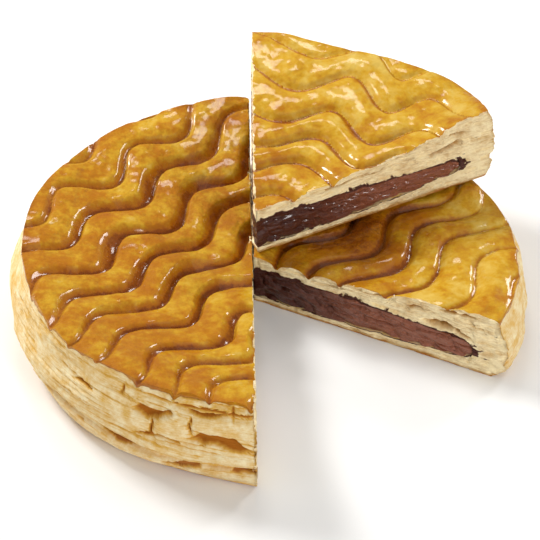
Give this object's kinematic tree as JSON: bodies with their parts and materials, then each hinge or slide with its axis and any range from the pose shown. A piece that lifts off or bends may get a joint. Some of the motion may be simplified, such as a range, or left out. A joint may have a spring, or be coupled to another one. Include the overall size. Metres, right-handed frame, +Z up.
{
  "type": "galette des rois",
  "caption": "Round puff pastry cake with a chocolate layer and wavy scored top, cut into a half, a third and a slice that lies tilted on the third.",
  "frame": {"origin": "middle of the footprint on the surface that the galette rests on", "axes": "+Z up, +Y away from the side where the slice is missing, so the half's cut face lies along Y with the half on the -X side"},
  "size_m": [0.2516, 0.2612, 0.0835],
  "materials": {
    "glazed_pastry": "egg-glazed puff pastry: glossy amber on the pillows, caramel brown in the score lines, pale dry flakes down the side",
    "pastry": "bare puff pastry: dry, matt, pale gold, in thin flaky layers",
    "chocolate": "soft chocolate cream, smeared by the knife, half glossy"
  },
  "bodies": {
    "root": {"half_top_pastry": "glazed_pastry", "half_chocolate": "chocolate", "half_bottom_pastry": "pastry", "third_top_pastry": "glazed_pastry", "third_chocolate": "chocolate", "third_bottom_pastry": "pastry", "slice_top_pastry": "glazed_pastry", "slice_chocolate": "chocolate", "slice_bottom_pastry": "pastry"}
  },
  "joints": []
}
